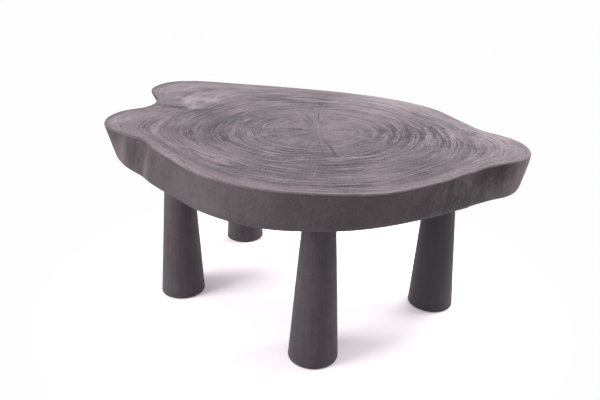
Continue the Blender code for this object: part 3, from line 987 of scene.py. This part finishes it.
def top_grid(columns, bearings, rim, top):
    """The slab's top in rows along its growth rings: radii, heights and growth."""
    stages = growth_stages(bearings, rim)
    ways = np.stack((np.cos(columns), np.sin(columns)), -1)
    radii = []
    heights = []
    growth = []
    for share, rise in ring_rows():
        ring = np.interp(columns, bearings, ring_outline(share, stages), period=tau)
        outward = np.full((SLAB_COLUMNS, 1), share * WAVER_OUTWARD)
        path = np.concatenate((ways * WAVER_AROUND, outward), 1)
        free = 4 * share * (1 - share)  # 0 at the pith and the rim, and 1 halfway
        radii.append(ring * (1 + RING_WAVER * free * waver(path)))
        strength = RELIEF_MEAN + RELIEF_RANGE * waver(path * RELIEF_PATH)
        strength = strength * soft_step(share, *RELIEF_START)
        heights.append(top - SKIM + RING_RELIEF * rise * strength)
        growth.append(np.full(SLAB_COLUMNS, share * GROWTH_SPAN))
    return np.array(radii), np.array(heights), np.array(growth)


def rim_grid(columns, bearings, rims, drops, top):
    """The slab's rim in level rows, the same way. The growth goes on down the rim."""
    radii = np.array([np.interp(columns, bearings, rim, period=tau) for rim in rims])
    down = np.tile(drops[:, None], SLAB_COLUMNS)
    return radii, top - down, GROWTH_SPAN + down


def make_slab(finish):
    """The slab: rows along its growth rings, down its rim and a flat underside with sockets."""
    low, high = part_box("slab")
    thickness = high.z - low.z
    drops = rim_drops(thickness)
    bearings = np.linspace(0.0, tau, PLAN_BEARINGS, endpoint=False)
    rims = measured_rim(bearings, high.z - drops)
    columns = even_columns(rims[len(rims) // 2], bearings)
    top = top_grid(columns, bearings, rims[0], high.z)
    side = rim_grid(columns, bearings, rims, drops, high.z)
    radii, heights, growth = [np.concatenate(grids) for grids in zip(top, side)]

    # How far each point lies below the top's edge, which is less than 0 on the top
    below = growth - GROWTH_SPAN
    margin = RIM_MARGIN * thickness
    clear = soft_step(below, 0.0, margin) * soft_step(thickness - below, 0.0, margin)
    barked = arc_zone(columns, BARK_ARC, BARK_FADE)
    bark = clear * barked
    shade = np.zeros_like(radii)
    # The rim's spots, partly painted light and shade, carried for the finish; none on the lowest row,
    # which the underside shares
    shade[len(top[0]) : -1] = rim_tone_and_painted_light(columns, drops[:-1])
    flutes = np.stack((radii * np.cos(columns), radii * np.sin(columns), heights), -1)
    flutes = waver(flutes / (FLUTE_WIDTH, FLUTE_WIDTH, FLUTE_LENGTH)) - FLUTE_SINK
    relief = PLAIN_RELIEF + (BARK_RELIEF - PLAIN_RELIEF) * bark
    radii = radii + (relief * flutes + SPOT_RELIEF * shade) * clear

    x = radii * np.cos(columns)
    y = radii * np.sin(columns)
    heights = heights - CHECK_DEPTH * check_shares(x, y)
    x += PITH[0]
    y += PITH[1]
    carried = {
        "growth": growth,
        "rim": soft_step(below, 0.0, RIM_TOP_ROUND),
        "lines": PLAIN_LINES + soft_spots(x, y, LINE_SPOTS),
        "flame": soft_spots(x, y, FLAME_SPOTS),
        "streaks": soft_spots(x, y, STREAK_SPOTS),
        "cross": soft_spots(x, y, CROSS_SPOTS),
        "pale": soft_spots(x, y, PALE_AND_SHEEN_SPOTS),
        "arcs": ring_arcs(columns, growth[:, 0] / GROWTH_SPAN),
        "bark": bark,
        "chips": soft_step(growth, *CHIPPED) * barked * (below < 0),
        "hatch": clear * arc_zone(columns, HATCH_ARC, HATCH_FADE),
        "shade": shade,
    }
    points = np.stack((x, y, heights), -1)
    mesh, rim_row = ringed_mesh("live_edge_slab", points, (*PITH, high.z - SKIM), carried)
    close_underside(mesh, rim_row, low.z)
    mesh.shade_smooth()
    set_piece("live_edge_slab", mesh, finish, "slab_wood", "slab")


def ringed_mesh(name, points, pith, carried):
    """A mesh of rows around the pith that carries numbers at its points, and its last row."""
    index = np.arange(points.size // 3).reshape(points.shape[:2])
    after = np.roll(index, -1, axis=1)
    quads = np.stack((index[:-1], index[1:], after[1:], after[:-1]), -1).reshape(-1, 4)
    fan = np.stack((np.full(SLAB_COLUMNS, index.size), index[0], after[0]), -1)
    mesh = bpy.data.meshes.new(name)
    mesh.from_pydata([*points.reshape(-1, 3).tolist(), pith], [], [*quads.tolist(), *fan.tolist()])
    for attribute, values in carried.items():
        layer = mesh.attributes.new(attribute, "FLOAT", "POINT")
        with_pith = np.append(values.reshape(-1), values[0].mean())
        layer.data.foreach_set("value", with_pith.astype(np.float32))
    return mesh, index[-1].tolist()


def close_underside(mesh, rim_row, underside):
    """Fills the slab's underside, with a stepped socket over each leg for its insert."""
    bm = bmesh.new()
    bm.from_mesh(mesh)
    bm.verts.ensure_lookup_table()
    rim_layer = bm.verts.layers.float["rim"]
    loop = [bm.verts[number] for number in rim_row]
    for corner in loop:
        corner.co.z = underside
    edges = [bm.edges.get((corner, loop[spot - 1])) for spot, corner in enumerate(loop)]
    turns = [tau * step / SOCKET_SIDES for step in range(SOCKET_SIDES)]
    for side in SIDES:
        low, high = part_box(f"threaded_insert_{side}")
        bolt_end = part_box(f"hanger_bolt_{side}")[1].z
        middle = (low + high) / 2
        recess_radius = (high.x - low.x) / 2 + SEAT_GAP
        recess_top = underside + FLANGE_THICKNESS + SEAT_GAP
        steps = [
            (recess_radius, underside),
            (recess_radius, recess_top),
            (SOCKET_RADIUS, recess_top),
            (SOCKET_RADIUS, bolt_end + SOCKET_SPARE),
        ]
        rings = []
        for radius, height in steps:
            ring = [
                bm.verts.new((middle.x + radius * cos(turn), middle.y + radius * sin(turn), height))
                for turn in turns
            ]
            for corner in ring:
                corner[rim_layer] = 1.0
            rings.append([bm.edges.new((corner, ring[spot - 1])) for spot, corner in enumerate(ring)])
        for lower, upper in zip(rings, rings[1:]):
            bmesh.ops.bridge_loops(bm, edges=lower + upper)
        bmesh.ops.contextual_create(bm, geom=rings[-1])
        edges += rings[0]
    bmesh.ops.triangle_fill(bm, use_beauty=True, edges=edges)
    bmesh.ops.recalc_face_normals(bm, faces=bm.faces)
    bm.to_mesh(mesh)
    bm.free()


def turned_piece(name, sides, rows, finish, slot, ring=False):
    """A piece turned about an upright axis, from rows of (height, radius).

    Both are one number, or one for each side. The rows go up the outside. A ring's rows go on
    down its bore, and other ends are capped.
    """
    low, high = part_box(name)
    middle = (low + high) / 2
    heights = np.array([np.broadcast_to(height, sides) for height, radius in rows])
    radii = np.array([np.broadcast_to(radius, sides) for height, radius in rows])
    turns = np.arange(sides) * tau / sides
    x = middle.x + radii * np.cos(turns)
    y = middle.y + radii * np.sin(turns)
    points = np.stack((x, y, heights), -1)
    index = np.arange(radii.size).reshape(radii.shape)
    lower = index if ring else index[:-1]
    upper = np.roll(index, -1, axis=0) if ring else index[1:]
    corners = (lower, np.roll(lower, -1, axis=1), np.roll(upper, -1, axis=1), upper)
    faces = np.stack(corners, -1).reshape(-1, 4).tolist()
    if not ring:
        faces += [index[0, ::-1].tolist(), index[-1].tolist()]
    mesh = bpy.data.meshes.new(name)
    mesh.from_pydata(points.reshape(-1, 3).tolist(), [], faces)
    mesh.shade_smooth()
    mesh.set_sharp_from_angle(angle=SHARP_ANGLE)
    set_piece(name, mesh, finish, slot, name)


def thread_trough(height, pitch, root=1.0):
    """How deep a thread is cut around at a height: 0 on its crest and 1 in its root."""
    turn = (height / pitch - np.arange(THREAD_SIDES) / THREAD_SIDES) % 1.0
    return np.clip(root * abs(2 * turn - 1), 0.0, 1.0)


def make_bolt(side, finish):
    """A hanger bolt: a pointed wood thread below, a plain collar and a machine thread above."""
    name = f"hanger_bolt_{side}"
    low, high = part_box(name)
    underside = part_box("slab")[0].z
    radius = (high.x - low.x) / 2
    rows = []
    for height in np.arange(low.z, high.z, BOLT_PITCH / BOLT_ROWS):
        outside = radius * min(1.0, (height - low.z) / BOLT_POINT + TIP_SHARE)
        outside = min(outside, radius - BOLT_CHAMFER + (high.z - height))
        if height > underside + BOLT_COLLAR:
            cut = BOLT_THREAD * thread_trough(height, BOLT_PITCH)
        elif height < underside - BOLT_COLLAR:
            cut = WOOD_THREAD * thread_trough(height, WOOD_PITCH, WOOD_ROOT)
        else:
            cut = BOLT_THREAD
        rows.append((height, outside * (1 - cut / radius)))
    rows.append((high.z, rows[-1][1] - BOLT_END))
    turned_piece(name, THREAD_SIDES, rows, finish, "bolt_steel")


def make_insert(side, finish):
    """A threaded insert: a flange, a coarse outer thread and a finely threaded bore."""
    name = f"threaded_insert_{side}"
    low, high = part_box(name)
    flange_top = low.z + FLANGE_THICKNESS
    flange_radius = (high.x - low.x) / 2
    rows = [
        (low.z, flange_radius - INSERT_BREAK),
        (low.z + INSERT_BREAK, flange_radius),
        (flange_top, flange_radius),
        (flange_top, INSERT_RADIUS - INSERT_THREAD),
    ]
    for height in np.arange(flange_top, high.z, INSERT_PITCH / INSERT_ROWS)[1:]:
        outside = min(INSERT_RADIUS, INSERT_RADIUS - INSERT_THREAD + (high.z - height))
        rows.append((height, outside - INSERT_THREAD * thread_trough(height, INSERT_PITCH)))
    rows.append((high.z, INSERT_RADIUS - 2 * INSERT_THREAD))
    rows.append((high.z, INSERT_BORE + INSERT_BREAK))
    bore_low = low.z + INSERT_BREAK
    bore_high = high.z - INSERT_BREAK
    for height in np.arange(bore_low, bore_high, BOLT_PITCH / BOLT_ROWS)[::-1]:
        rows.append((height, INSERT_BORE + BORE_THREAD * thread_trough(height, BOLT_PITCH)))
    rows.append((low.z, INSERT_BORE + INSERT_BREAK))
    turned_piece(name, THREAD_SIDES, rows, finish, "insert_brass", ring=True)


def make_screw(side, finish):
    """A countersunk screw, head down, with a cross recess and a pointed thread."""
    name = f"glide_screw_{side}"
    low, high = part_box(name)
    head_radius = (high.x - low.x) / 2
    turns = np.arange(THREAD_SIDES) * tau / THREAD_SIDES
    rows = []
    for share in np.linspace(RECESS_START, 1.0, RECESS_ROWS):
        radius = share * head_radius
        nearest = radius * np.minimum(abs(np.cos(turns)), abs(np.sin(turns)))
        inside = (nearest < RECESS_WIDTH / 2) & (radius < RECESS_REACH)
        depth = RECESS_DEPTH * inside * (1 - RECESS_SLOPE * radius / RECESS_REACH)
        rows.append((low.z + depth, radius))
    rows.append((low.z + SCREW_HEAD, SCREW_RADIUS))
    for height in np.arange(low.z + SCREW_HEAD, high.z, SCREW_PITCH / SCREW_ROWS)[1:]:
        outside = SCREW_RADIUS * min(1.0, (high.z - height) / SCREW_POINT + TIP_SHARE)
        cut = SCREW_THREAD * thread_trough(height, SCREW_PITCH, SCREW_ROOT)
        rows.append((height, outside * (1 - cut / SCREW_RADIUS)))
    turned_piece(name, THREAD_SIDES, rows, finish, "screw_steel")


def make_glide(side, finish):
    """A foot glide: a disc with two shallow rings below and a countersunk hole."""
    name = f"foot_glide_{side}"
    low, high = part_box(name)
    screw_low, screw_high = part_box(f"glide_screw_{side}")
    radius = (high.x - low.x) / 2
    head = (screw_high.x - screw_low.x) / 2 + SEAT_GAP
    rows = [(screw_low.z, head), (low.z, head)]
    for groove in GLIDE_GROOVES:
        for share, depth in GROOVE_PROFILE:
            rows.append((low.z + depth * GROOVE_DEPTH, groove + share * GROOVE_WIDTH))
    rows += [
        (low.z, radius - GLIDE_CHAMFER),
        (low.z + GLIDE_CHAMFER, radius),
        (high.z - GLIDE_BREAK, radius),
        (high.z, radius - GLIDE_BREAK),
        (high.z, GLIDE_BORE),
        (screw_low.z + SCREW_HEAD, GLIDE_BORE),
    ]
    turned_piece(name, GLIDE_SIDES, rows, finish, "glide_nylon", ring=True)


def set_floor():
    """A pale floor that is white to the camera, but for the table's soft shadow."""
    mesh = bpy.data.meshes.new("studio_floor")
    signs = ((-1, -1), (1, -1), (1, 1), (-1, 1))
    corners = [(x * FLOOR_HALF, y * FLOOR_HALF, -FLOOR_DROP) for x, y in signs]
    mesh.from_pydata(corners, [], [(0, 1, 2, 3)])
    floor = placed("studio_floor", mesh)
    paper = Finish("studio_paper", Roughness=1.0, Specular_IOR_Level=0.0)
    seen = paper.seen()
    paper.feed("Base Color", paper.blend(seen, PAPER, PAPER_SEEN))
    share = seen * paper.step(paper.distance((0.0, 0.0, 0.0)), *PAPER_STEP)
    glow = paper.node("ShaderNodeEmission", {}, {"Color": STUDIO_WHITE, "Strength": 1.0})
    paper.mix_shaders(share, Value(paper, paper.shader.outputs[0]), glow)
    mesh.materials.append(paper.material)


def set_world():
    """White to the camera and in reflections, and an even soft light on the rest."""
    world = bpy.data.worlds.new("studio")
    bpy.context.scene.world = world
    world.use_nodes = True
    sky = Nodes(world.node_tree)
    kind = "ShaderNodeBackground"
    light = sky.node(kind, {}, {"Color": STUDIO_LIGHT, "Strength": STUDIO_STRENGTH})
    white = sky.node(kind, {}, {"Color": STUDIO_WHITE, "Strength": 1.0})
    sky.mix_shaders(sky.seen(), light, white)


def soft_box(name, place, aim, width, height, power):
    """A large soft lamp aimed at a point."""
    lamp = bpy.data.lights.new(name, "AREA")
    lamp.shape = "RECTANGLE"
    lamp.size = width
    lamp.size_y = height
    lamp.energy = power
    lamp.color = STUDIO_LIGHT[:3]
    holder = placed(name, lamp)
    holder.location = place
    holder.rotation_euler = (Vector(aim) - Vector(place)).to_track_quat("-Z", "Y").to_euler()


def set_camera():
    """The camera where the photograph was taken."""
    lens = bpy.data.cameras.new("photograph")
    lens.lens = CAMERA_LENS
    lens.sensor_width = CAMERA_LENS
    camera = placed("photograph", lens)
    turn = Matrix.Rotation(CAMERA_TILT, 4, "X") @ Matrix.Rotation(CAMERA_ROLL, 4, "Z")
    camera.matrix_world = Matrix.Translation(CAMERA_PLACE) @ turn
    bpy.context.scene.camera = camera


bpy.context.scene.view_settings.view_transform = "Standard"
set_camera()
set_world()
set_floor()
for name, lamp in SOFT_BOXES.items():
    soft_box(name, *lamp)

make_slab(charcoal_end_grain())
leg_finish = charcoal_leg()
zinc = worked_metal("zinc_plate", ZINC_DARK, ZINC_PALE)
brass = worked_metal("insert_brass", BRASS_DARK, BRASS_PALE)
nylon = moulded_nylon()
for side in SIDES:
    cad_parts[f"leg_{side}"].data.materials[0] = leg_finish.material
    make_bolt(side, zinc)
    make_insert(side, brass)
    make_screw(side, zinc)
    make_glide(side, nylon)
